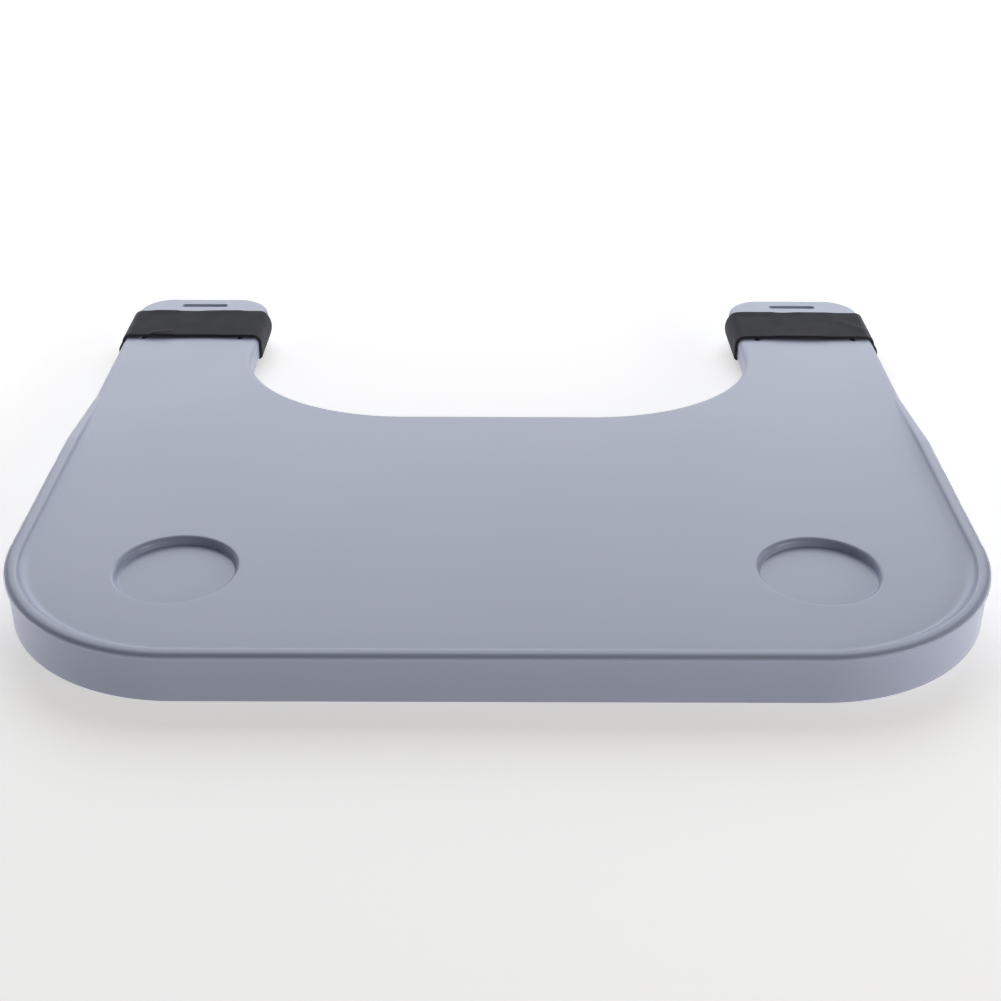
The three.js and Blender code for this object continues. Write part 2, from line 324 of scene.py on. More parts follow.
class Shader:
    """One node material: each method adds a node and returns its result."""

    def __init__(self, name: str) -> None:
        """Starts an empty material.

        Args:
            name: The material's name.
        """
        self.material = bpy.data.materials.new(name)
        self.material.use_nodes = True
        self.tree = self.material.node_tree
        self.tree.nodes.clear()

    def node(self, kind: str, inputs: dict[str | int, object], **options: object) -> bpy.types.Node:
        """Adds a node.

        Args:
            kind: The node's type.
            inputs: A value or another node's result for each named input.
            options: The node's own settings.

        Returns:
            The node.
        """
        made = self.tree.nodes.new(kind)
        for option, value in options.items():
            setattr(made, option, value)
        for key, value in inputs.items():
            if isinstance(value, bpy.types.NodeSocket):
                self.tree.links.new(value, made.inputs[key])
            else:
                made.inputs[key].default_value = value
        return made

    def place(self, kind: str = "Object") -> Socket:
        """The point's coordinates: Object, in metres, or UV."""
        return self.node("ShaderNodeTexCoord", {}).outputs[kind]

    def part(self, vector: Socket, axis: str) -> Socket:
        """One of a vector's parts, X, Y or Z."""
        return self.node("ShaderNodeSeparateXYZ", {0: vector}).outputs[axis]

    def calc(self, operation: str, first: object, second: object = 0.0) -> Socket:
        """The result of a sum on one or two numbers."""
        return self.node("ShaderNodeMath", {0: first, 1: second}, operation=operation).outputs[0]

    def mixed(self, first: Socket, second: Socket, share: float) -> Socket:
        """Two numbers mixed: first * share + second * (1 - share)."""
        parts = self.calc("MULTIPLY", first, share), self.calc("MULTIPLY", second, 1.0 - share)
        return self.calc("ADD", *parts)

    def noise(self, vector: Socket, size: float, detail: float = 3.0) -> Socket:
        """Soft noise from 0 to 1, whose spots are about size across."""
        inputs = {"Vector": vector, "Scale": 1.0 / size, "Detail": detail}
        return self.node("ShaderNodeTexNoise", inputs).outputs[0]

    def between(self, value: Socket, source: Pair, target: Pair) -> Socket:
        """The value moved from one range to another, and held inside it."""
        inputs = {0: value, 1: source[0], 2: source[1], 3: target[0], 4: target[1]}
        return self.node("ShaderNodeMapRange", inputs, clamp=True).outputs[0]

    def tint(self, share: Socket, low: Colour, high: Colour) -> Socket:
        """A colour between two, by a share."""
        inputs = {0: share, 6: low, 7: high}
        return self.node("ShaderNodeMix", inputs, data_type="RGBA").outputs[2]

    def bump(self, height: Socket, depth: float, strength: float) -> Socket:
        """A normal that tilts with a height from 0 to 1, where 1 stands depth proud."""
        inputs = {"Height": height, "Distance": depth, "Strength": strength}
        return self.node("ShaderNodeBump", inputs).outputs[0]

    def finish(self, inputs: dict[str | int, object]) -> bpy.types.Material:
        """Joins the surface shader to the output.

        Args:
            inputs: A value or a result for each of the surface shader's inputs.

        Returns:
            The material.
        """
        surface = self.node("ShaderNodeBsdfPrincipled", inputs)
        self.node("ShaderNodeOutputMaterial", {"Surface": surface.outputs[0]})
        return self.material


@dataclass(frozen=True)
class Dressing:
    """A built material with the record's slot that it belongs to."""

    material: bpy.types.Material
    slot: str

    def put_on(self, piece: bpy.types.Object) -> None:
        """Gives a piece this material."""
        piece.data.materials.append(self.material)


@dataclass(frozen=True)
class MouldedPlastic:
    """Lavender grey plastic with a fine matte grain, handled a little smoother on the rim."""

    slot: str = "tray_plastic"
    low: Colour = (0.372, 0.402, 0.530, 1.0)
    high: Colour = (0.392, 0.424, 0.556, 1.0)
    cloud_size: float = 90 * MM
    grain_size: float = 0.55 * MM
    grain_depth: float = 0.02 * MM
    grain_strength: float = 0.25
    roughness: Pair = (0.30, 0.345)
    rubbed: float = 0.01
    specular: float = 0.5

    def material(self, top: float, crest: float) -> bpy.types.Material:
        """Builds the finish.

        Args:
            top: The height of the tray's flat top.
            crest: The height up to which the rim is rubbed.

        Returns:
            The material.
        """
        shader = Shader("moulded_plastic")
        place = shader.place()
        cloud = shader.noise(place, self.cloud_size)
        grain = shader.noise(place, self.grain_size)
        matte = shader.between(cloud, NOISE_RANGE, self.roughness)
        rim = (top + (crest - top) / 2, crest)
        worn = shader.between(shader.part(place, "Z"), rim, (0.0, self.rubbed))
        return shader.finish({
            "Base Color": shader.tint(cloud, self.low, self.high),
            "Roughness": shader.calc("SUBTRACT", matte, worn),
            "Specular IOR Level": self.specular,
            "Normal": shader.bump(grain, self.grain_depth, self.grain_strength),
        })


@dataclass(frozen=True)
class Webbing:
    """Soft black webbing: a plain weave of fine yarns under a short brushed nap, with painted shade in the
    weave's hollows.
    """

    slot: str = "strap_webbing"
    low: Colour = (0.022, 0.022, 0.027, 1.0)
    high: Colour = (0.042, 0.042, 0.050, 1.0)
    warp_pitch: float = 0.9 * MM
    weft_pitch: float = 1.3 * MM
    yarn_depth: float = 0.12 * MM
    nap_size: float = 0.35 * MM
    nap_detail: float = 4.0
    cloud_size: float = 14 * MM
    yarn_share: float = 0.6
    # The share of the colour from the clouds, the webbing's own uneven tone. The rest follows the height,
    # which is painted shade, darker where the yarns dip.
    cloud_share: float = 0.6
    yarn_flatness: float = 0.5
    bump_strength: float = 0.55
    roughness: float = 0.92
    specular: float = 0.25
    sheen: float = 0.15
    sheen_roughness: float = 0.5
    sheen_tint: Colour = (0.62, 0.62, 0.68, 1.0)

    def weave(self, shader: Shader) -> Socket:
        """The yarns' height: |sin(pi x / weft pitch + pi / 2 * n)| * |sin(pi y / warp pitch)|^p.

        n counts the warp yarns, so that the weft goes over one and under the next, and p is
        their flatness.

        Args:
            shader: The material to build in.

        Returns:
            A height from 0 to 1.
        """
        cloth = shader.place("UV")
        along = shader.calc("MULTIPLY", shader.part(cloth, "X"), math.pi / self.weft_pitch)
        across = shader.calc("DIVIDE", shader.part(cloth, "Y"), self.warp_pitch)
        shift = shader.calc("MULTIPLY", shader.calc("FLOOR", across), math.pi / 2)
        crimp = shader.calc("ABSOLUTE", shader.calc("SINE", shader.calc("ADD", along, shift)))
        rounded = shader.calc("ABSOLUTE", shader.calc("SINE", shader.calc("MULTIPLY", across, math.pi)))
        return shader.calc("MULTIPLY", crimp, shader.calc("POWER", rounded, self.yarn_flatness))

    def material(self) -> bpy.types.Material:
        """Builds the finish.

        Returns:
            The material.
        """
        shader = Shader("black_webbing")
        place = shader.place()
        yarns = self.weave(shader)
        nap = shader.noise(place, self.nap_size, self.nap_detail)
        cloud = shader.noise(place, self.cloud_size)
        # The colour mixes the clouds' uneven tone with painted shade: it is darker where the yarns dip
        # between one another.
        height = shader.mixed(yarns, nap, self.yarn_share)
        shade = shader.between(shader.mixed(cloud, height, self.cloud_share), NOISE_RANGE, (0.0, 1.0))
        return shader.finish({
            "Base Color": shader.tint(shade, self.low, self.high),
            "Roughness": self.roughness,
            "Specular IOR Level": self.specular,
            "Sheen Weight": self.sheen,
            "Sheen Roughness": self.sheen_roughness,
            "Sheen Tint": self.sheen_tint,
            "Normal": shader.bump(height, self.yarn_depth, self.bump_strength),
        })


@dataclass(frozen=True)
class SmallParts:
    """A plain dark finish with a fine mottle, for the pile, the hooks and the thread."""

    name: str
    slot: str
    low: Colour
    high: Colour
    mottle_size: float
    depth: float
    roughness: float
    sheen: float
    polish: float = 0.06
    specular: float = 0.3
    bump_strength: float = 0.5

    def material(self) -> bpy.types.Material:
        """Builds the finish, whose smoothest spots are less rough by the polish.

        Returns:
            The material.
        """
        shader = Shader(self.name)
        mottle = shader.noise(shader.place(), self.mottle_size)
        roughness = (self.roughness - self.polish, self.roughness)
        return shader.finish({
            "Base Color": shader.tint(mottle, self.low, self.high),
            "Roughness": shader.between(mottle, NOISE_RANGE, roughness),
            "Specular IOR Level": self.specular,
            "Sheen Weight": self.sheen,
            "Normal": shader.bump(mottle, self.depth, self.bump_strength),
        })


LOOP_PILE = SmallParts(
    name="brushed_pile", slot="loop_pile",
    low=(0.018, 0.018, 0.020, 1.0), high=(0.034, 0.034, 0.037, 1.0),
    mottle_size=0.6 * MM, depth=0.1 * MM, roughness=0.95, sheen=0.4,
)
HOOK_TAPE = SmallParts(
    name="hook_plastic", slot="hook_tape",
    low=(0.014, 0.014, 0.016, 1.0), high=(0.022, 0.022, 0.024, 1.0),
    mottle_size=1.5 * MM, depth=0.02 * MM, roughness=0.55, sheen=0.0,
)
THREAD = SmallParts(
    name="sewing_thread", slot="strap_webbing",
    low=(0.024, 0.024, 0.026, 1.0), high=(0.046, 0.046, 0.050, 1.0),
    mottle_size=0.3 * MM, depth=0.03 * MM, roughness=0.7, sheen=0.2,
)


def quarter(centre: Pair, radii: Pair, start: float, end: float, steps: int, outward: float = 1.0) -> Array:
    """A quarter of an ellipse: centre + (a cos t, b sin t), with normal (cos t / a, sin t / b).

    Args:
        centre: The ellipse's centre.
        radii: Its half widths in x and y.
        start: The first angle, in degrees.
        end: The last angle, in degrees.
        steps: How many steps lie between them.
        outward: 1 where the tray lies inside the curve, and -1 where it lies outside.

    Returns:
        Rows of x, y, normal x, normal y.
    """
    turn = arc((0.0, 0.0), 1.0, start, end, steps)
    normal = turn / np.asarray(radii)
    normal /= np.linalg.norm(normal, axis=1, keepdims=True)
    return np.column_stack([np.asarray(centre) + turn * np.asarray(radii), normal * outward])


def side_run(start: Pair, end: Pair, normal: Pair, steps: int) -> Array:
    """A straight stretch of the plan without its two ends, as rows of x, y, normal x, normal y."""
    line = straight(start, end, steps)[1:-1]
    return np.column_stack([line, np.broadcast_to(normal, line.shape)])


@dataclass(frozen=True)
class PlanSteps:
    """How many steps the plan's right half takes along each stretch, from the front on."""

    front: int = 24
    corner: int = 80
    side: int = 24
    ramp: int = 40
    arm_outside: int = 30
    tip_corner: int = 36
    tip: int = 12
    arm_inside: int = 20
    cutout_corner: int = 80
    cutout: int = 16


@dataclass
class Tray:
    """The moulded tray: rolled rim, ramps, skirt, arms, cup recesses and strap slots.

    Its section is drawn as (inset, height) pairs: inset from the skirt's outer face towards
    the middle of the plan, and height from the flat top.

    Attributes:
        low, high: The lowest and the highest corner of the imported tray.
        crest_ease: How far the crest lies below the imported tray's highest corner.
        bead_overhang: How far the bead stands out beyond the skirt.
        bead_squareness: The power in the bead's formula: 2 is an ellipse, and more is squarer.
        rim_reach: How far behind the tray's front the full rim ends and its ramp starts.
        edge_radius: The rounding of the plain edge round the arms and the cut-out.
        cup_wall_draft: How much narrower a recess is at the foot of its wall than at its head.
        side_slot_inset: From an arm's side to the middle of a slot under the strap.
        side_slot_lead: How far those slots lie before the middle of the strap.
        strap_setback: From the arm's tip to the middle of the strap.
        flat_border: How far the mesh of an edge reaches into the flat beside it.
        slot_border: The same for a slot.
    """

    low: Vector
    high: Vector
    finish: MouldedPlastic = field(default_factory=MouldedPlastic)
    wall: float = 3.2 * MM
    front_corner_radius: float = 120 * MM
    rim_height: float = 5.5 * MM
    crest_ease: float = 0.4 * MM
    bead_overhang: float = 1.5 * MM
    bead_width: float = 6.4 * MM
    bead_height: float = 2.9 * MM
    bead_squareness: float = 2.8
    bead_inner_radius: float = 2.5 * MM
    bead_under_radius: float = 1.2 * MM
    bead_under_angle: float = 75.0
    crease_depth: float = 0.3 * MM
    crease_height: float = 1.1 * MM
    crease_lip_height: float = 0.7 * MM
    rim_wall_angle: float = 33.0
    cove_radius: float = 8.2 * MM
    rim_reach: float = 264 * MM
    ramp_length: float = 80 * MM
    arm_width: float = 108.5 * MM
    arm_skirt_depth: float = 16.5 * MM
    tip_radius: float = 27 * MM
    cutout_depth: float = 222 * MM
    cutout_corner_width: float = 125 * MM
    cutout_corner_depth: float = 108 * MM
    edge_radius: float = 5 * MM
    skirt_edge_radius: float = 0.6 * MM
    inside_corner_radius: float = 2 * MM
    cup_radius: float = 39.8 * MM
    cup_depth: float = 5 * MM
    cup_side_inset: float = 106.7 * MM
    cup_front_inset: float = 99.5 * MM
    cup_lip_radius: float = 3.2 * MM
    cup_foot_radius: float = 0.5 * MM
    cup_wall_draft: float = 0.5 * MM
    cup_bulge_fillet: float = 1 * MM
    tip_slot_length: float = 38 * MM
    slot_width: float = 5 * MM
    slot_lip_radius: float = 0.6 * MM
    tip_slot_setback: float = 16.5 * MM
    side_slot_inset: float = 15.2 * MM
    side_slot_length: float = 52 * MM
    side_slot_lead: float = 1.5 * MM
    strap_setback: float = 59 * MM
    flat_border: float = 2.4 * MM
    slot_border: float = 0.6 * MM
    steps: PlanSteps = PlanSteps()
    edge_steps: int = 24
    cup_steps: int = 160
    slot_steps: int = 48

    def __post_init__(self) -> None:
        """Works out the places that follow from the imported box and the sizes."""
        self.top = self.high.z - self.rim_height
        self.crest = self.rim_height - self.crest_ease
        self.half = self.high.x - self.bead_overhang
        self.front = self.low.y + self.bead_overhang
        self.arm_inner = self.half - self.arm_width
        self.arm_centre = self.half - self.arm_width / 2
        self.strap_y = self.high.y - self.strap_setback
        self.crest_inset = self.bead_width - self.bead_overhang
        lean, radii = math.radians(self.rim_wall_angle), self.bead_inner_radius + self.cove_radius
        run = (radii + (self.crest - radii) * math.sin(lean)) / math.cos(lean)
        self.flat_inset = self.crest_inset + run

    def outline(self) -> Array:
        """The plan at the skirt's outer face, anticlockwise seen from above.

        Returns:
            Rows of x, y, normal x, normal y and the rim's share, which is 1 on the full rim,
            0 on a plain edge and falls evenly down the ramp.
        """
        steps = self.steps
        corner = self.front_corner_radius - self.bead_overhang
        tip, tip_y = self.tip_radius, self.high.y - self.tip_radius
        ramp_from = self.low.y + self.rim_reach
        ramp_to = ramp_from + self.ramp_length
        foot_y = self.high.y - self.cutout_depth
        foot_x = self.arm_inner - self.cutout_corner_width
        arm_y = foot_y + self.cutout_corner_depth
        middle = np.array([[0.0, self.front, 0.0, -1.0]])
        kinks = np.array([[self.half, y, 1.0, 0.0] for y in (ramp_from, ramp_to)])
        outer = np.concatenate([
            middle,
            side_run((0.0, self.front), (self.half - corner, self.front), (0.0, -1.0), steps.front),
            quarter((self.half - corner, self.front + corner), (corner, corner), -90, 0, steps.corner),
            side_run((self.half, self.front + corner), (self.half, ramp_from), (1.0, 0.0), steps.side),
            kinks[:1],
            side_run((self.half, ramp_from), (self.half, ramp_to), (1.0, 0.0), steps.ramp),
            kinks[1:],
            side_run((self.half, ramp_to), (self.half, tip_y), (1.0, 0.0), steps.arm_outside),
        ])
        inner = np.concatenate([
            quarter((self.half - tip, tip_y), (tip, tip), 0, 90, steps.tip_corner),
            side_run((self.half - tip, self.high.y), (self.arm_inner + tip, self.high.y), (0.0, 1.0),
                     steps.tip),
            quarter((self.arm_inner + tip, tip_y), (tip, tip), 90, 180, steps.tip_corner),
            side_run((self.arm_inner, tip_y), (self.arm_inner, arm_y), (-1.0, 0.0), steps.arm_inside),
            quarter((foot_x, arm_y), (self.cutout_corner_width, self.cutout_corner_depth), 0, -90,
                    steps.cutout_corner, -1.0),
            side_run((foot_x, foot_y), (0.0, foot_y), (0.0, 1.0), steps.cutout),
            middle * (1.0, 0.0, 1.0, -1.0) + (0.0, foot_y, 0.0, 0.0),
        ])
        shares = np.clip((ramp_to - outer[:, 1]) / self.ramp_length, 0.0, 1.0)
        right = np.column_stack([
            np.concatenate([outer, inner]),
            np.concatenate([shares, np.zeros(len(inner))]),
        ])
        left = (right * (-1.0, 1.0, -1.0, 1.0, 1.0))[::-1]
        return np.concatenate([right, left[1:-1]])

    def rim_section(self) -> Array:
        """The section over the full rim, from the flat top to the skirt.

        It runs along the flat, up a cove, the leaning inner wall and a round shoulder to the
        crest, down the bead and round under it into a crease. The bead is a quarter of an
        ellipse made squarer: (width |cos a|^(2/p), height (sin a)^(2/p)), with p as its
        squareness. The crease is a curve with three points, whose weights (1 - t)(1 - t),
        2 t (1 - t) and t t make it leave the first towards the second and arrive at the last.

        Returns:
            Rows of inset and height.
        """
        level = self.crest - self.bead_height
        turn = abs(arc((0.0, 0.0), 1.0, 90, 180, 18)) ** (2 / self.bead_squareness)
        outer = turn * (-self.bead_width, self.bead_height)
        under = arc((self.bead_under_radius - self.bead_overhang, level), self.bead_under_radius,
                    180, 180 + self.bead_under_angle, 8)
        bend = np.array([[self.crease_depth, self.crease_height], [0.0, self.crease_height],
                         [0.0, self.crease_lip_height]])
        t = np.linspace(0.0, 1.0, 7)[:, None]
        crease = (1 - t) ** 2 * bend[0] + 2 * t * (1 - t) * bend[1] + t ** 2 * bend[2]
        return np.concatenate([
            straight((self.flat_inset + self.flat_border, 0.0), (self.flat_inset, 0.0), 2)[:-1],
            arc((self.flat_inset, self.cove_radius), self.cove_radius, 270, 180 + self.rim_wall_angle, 12),
            arc((self.crest_inset, self.crest - self.bead_inner_radius),
                self.bead_inner_radius, self.rim_wall_angle, 90, 10)[:-1],
            outer + (self.crest_inset, level),
            under[1:],
            crease,
        ])

    def edge_section(self, count: int) -> Array:
        """The section over a plain rounded edge: flat, a quarter of a circle and a straight side.

        Args:
            count: How many points it has, as many as the rim's.

        Returns:
            Rows of inset and height.
        """
        radius = self.edge_radius
        flat = straight((radius + self.flat_border, 0.0), (radius, 0.0), self.edge_steps)[:-1]
        turn = arc((radius, -radius), radius, 90, 180, self.edge_steps)
        left = count - len(flat) - len(turn)
        side = straight((0.0, -radius), (0.0, -radius - self.wall), left + 1)[1:-1]
        return np.concatenate([flat, turn, side])

    def skirt_section(self, depth: float, start: float) -> Array:
        """The section from the foot of the edge down the skirt and up to the underside.

        Args:
            depth: How far the skirt reaches below the flat top.
            start: The height at which the skirt's face begins.

        Returns:
            Rows of inset and height.
        """
        foot, inner = self.skirt_edge_radius, self.inside_corner_radius
        under = (self.wall + inner + self.flat_border, -self.wall)
        return np.concatenate([
            straight((0.0, start), (0.0, foot - depth), 4)[1:-1],
            arc((foot, foot - depth), foot, 180, 270, 4),
            arc((self.wall - foot, foot - depth), foot, 270, 360, 4),
            straight((self.wall, foot - depth), (self.wall, -self.wall - inner), 3)[1:-1],
            arc((self.wall + inner, -self.wall - inner), inner, 180, 90, 6),
            straight((self.wall + inner, -self.wall), under, 2)[1:],
        ])

    def rings(self, outline: Array) -> Array:
        """The rings round the tray: plan point - normal * inset, at the section's height.

        Each section lies between the plain edge and the full rim, by the rim's share there.

        Args:
            outline: The plan, as outline() gives it.

        Returns:
            An array of rings x plan points x 3.
        """
        rim = self.rim_section()
        edge = self.edge_section(len(rim))
        full = np.concatenate([rim, self.skirt_section(self.top, rim[-1, 1])])
        plain = np.concatenate([edge, self.skirt_section(self.arm_skirt_depth, edge[-1, 1])])
        share = outline[:, 4]
        inset, height = [
            plain[:, k, None] * (1.0 - share) + full[:, k, None] * share for k in (0, 1)
        ]
        plan = outline[None, :, 0:2] - outline[None, :, 2:4] * inset[..., None]
        return np.concatenate([plan, (height + self.top)[..., None]], axis=-1)

    def recess_profile(self) -> Array:
        """A cup recess seen from above: border, round lip, drafted wall, tight foot and floor.

        Returns:
            Rows of radius and height.
        """
        lip, foot = self.cup_lip_radius, self.cup_foot_radius
        foot_x = self.cup_radius - lip - self.cup_wall_draft - foot
        return np.concatenate([
            straight((self.cup_radius + self.flat_border, 0.0), (self.cup_radius, 0.0), 2)[:-1],
            arc((self.cup_radius, -lip), lip, 90, 180, 10),
            arc((foot_x, foot - self.cup_depth), foot, 360, 270, 8),
            straight((foot_x, -self.cup_depth), (0.0, -self.cup_depth), 12)[1:],
        ])

    def bulge_profile(self) -> Array:
        """A recess seen from below: border, fillet, outer wall, rounded corner and floor.

        Returns:
            Rows of radius and height.
        """
        fillet, corner = self.cup_bulge_fillet, self.inside_corner_radius
        outer = self.cup_radius - self.cup_wall_draft + self.wall - self.cup_lip_radius / 2
        foot = -self.cup_depth - self.wall
        meet = outer + self.cup_bulge_fillet
        return np.concatenate([
            straight((meet + self.flat_border, -self.wall), (meet, -self.wall), 2)[:-1],
            arc((meet, -self.wall - fillet), fillet, 90, 180, 5),
            arc((outer - corner, foot + corner), corner, 0, -90, 8),
            straight((outer - corner, foot), (0.0, foot), 12)[1:],
        ])

    def slot_rings(self, centre: Pair, length: float, along: Along) -> Array:
        """A slot with round ends: border, lip, wall, lip and border, from the top down.

        Each ring is the slot's outline moved outwards by an offset. The outline is a half
        circle at each end, shifted by half of the straight part.

        Args:
            centre: The slot's middle in the plan.
            length: Its whole length.
            along: The direction that it is long in.

        Returns:
            An array of rings x outline points x 3.
        """
        lip, border = self.slot_lip_radius, self.slot_lip_radius + self.slot_border
        upper = arc((lip, -lip), lip, 90, 180, 4)
        lower = arc((lip, lip - self.wall), lip, 180, 270, 4)
        profile = np.concatenate([[[border, 0.0]], upper, lower, [[border, -self.wall]]])
        turn, half = arc((0.0, 0.0), 1.0, 0, 360, self.slot_steps)[:-1], self.slot_steps // 2
        turn = np.concatenate([turn[:half + 1], turn[half:], turn[:1]])
        end = np.where(np.arange(len(turn)) <= half, 1.0, -1.0)[:, None]
        shift = end * (0.0, length / 2 - self.slot_width / 2)
        plan = shift + turn * (self.slot_width / 2 + profile[:, None, 0:1])
        if along is Along.X:
            plan = np.stack([-plan[..., 1], plan[..., 0]], axis=-1)
        height = np.broadcast_to(profile[:, None, 1:2] + self.top, (*plan.shape[:2], 1))
        return np.concatenate([plan + np.asarray(centre), height], axis=-1)

    def slots(self, side: Side) -> list[Array]:
        """The rings of one arm's three slots: one across its tip and two under its strap.

        Args:
            side: The arm's side.

        Returns:
            The rings of each slot.
        """
        sign = side.value
        tip = (sign * self.arm_centre, self.high.y - self.tip_slot_setback)
        found = [self.slot_rings(tip, self.tip_slot_length, Along.X)]
        for edge in (-1.0, 1.0):
            x = self.arm_centre + edge * (self.arm_width / 2 - self.side_slot_inset)
            place = (sign * x, self.strap_y - self.side_slot_lead)
            found.append(self.slot_rings(place, self.side_slot_length, Along.Y))
        return found

    def build(self) -> bpy.types.Object:
        """Builds the tray as one closed shell and dresses it.

        Returns:
            The tray.
        """
        rings = self.rings(self.outline())
        cup_y = self.low.y + self.cup_front_inset
        cup_x = self.high.x - self.cup_side_inset
        cups = [(side.value * cup_x, cup_y, self.top) for side in Side]
        recesses = [turned(self.recess_profile(), cup, self.cup_steps) for cup in cups]
        bulges = [turned(self.bulge_profile(), cup, self.cup_steps) for cup in cups]
        slots = [slot for side in Side for slot in self.slots(side)]
        surface = Surface()
        for patch in (rings, *recesses, *bulges, *slots):
            surface.add_grid(patch, closed=True)
        above = [hole[0, :, :2] for hole in (*recesses, *slots)]
        below = [hole[0, :, :2] for hole in bulges] + [hole[-1, :, :2] for hole in slots]
        surface.add_plane(rings[0, :, :2], above, self.top)
        surface.add_plane(rings[-1, :, :2], below, self.top - self.wall)
        tray = surface.build("moulded_tray")
        Dressing(self.finish.material(self.top, self.high.z), self.finish.slot).put_on(tray)
        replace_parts(tray, "tray_shell")
        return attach(tray, "tray")


@dataclass(frozen=True)
class Fold:
    """A ridge in the webbing, along a line from one point to another.

    Points are (distance from the arm's middle round the strap, distance from its front edge).
    """

    start: Pair
    end: Pair
    height: float
    spread: float

    def swell(self, around: Array, back: Array) -> Array:
        """The ridge's height: height * exp(-(distance to its line / spread) squared).

        Args:
            around: Each point's distance round the strap.
            back: Each point's distance from the front edge.

        Returns:
            The height at each point.
        """
        step = np.subtract(self.end, self.start)
        x, y = around - self.start[0], back - self.start[1]
        share = np.clip((x * step[0] + y * step[1]) / (step @ step), 0.0, 1.0)
        gap = np.hypot(x - share * step[0], y - share * step[1])
        return self.height * np.exp(-(gap / self.spread) ** 2)


# Angles round the strap's edges at which its points stand, and those round a tape's.
BAND_EDGE_ANGLES = np.radians([20, 40, 58, 74, 90])
TAPE_EDGE_ANGLES = np.radians([0, 20, 42, 64, 90])

# The seeds of the random lean and turn of each side's loops.
PILE_SEEDS = {Side.LEFT: 11, Side.RIGHT: 12}

LEFT_FOLDS = (
    Fold((31 * MM, 3.5 * MM), (18 * MM, 6.5 * MM), 1.0 * MM, 2.8 * MM),
    Fold((30 * MM, 0 * MM), (20 * MM, 1 * MM), 0.5 * MM, 5.0 * MM),
    Fold((-30 * MM, 50 * MM), (-8 * MM, 47 * MM), 0.7 * MM, 6.0 * MM),
    Fold((36 * MM, 50 * MM), (22 * MM, 48 * MM), 0.6 * MM, 5.0 * MM),
)
RIGHT_FOLDS = (
    Fold((-20 * MM, 0 * MM), (10 * MM, 1 * MM), 0.6 * MM, 6.0 * MM),
    Fold((-44 * MM, 48 * MM), (-22 * MM, 50 * MM), 0.8 * MM, 6.0 * MM),
    Fold((34 * MM, 30 * MM), (48 * MM, 16 * MM), 0.5 * MM, 4.0 * MM),
    Fold((0 * MM, 50 * MM), (24 * MM, 49 * MM), 0.4 * MM, 6.0 * MM),
)


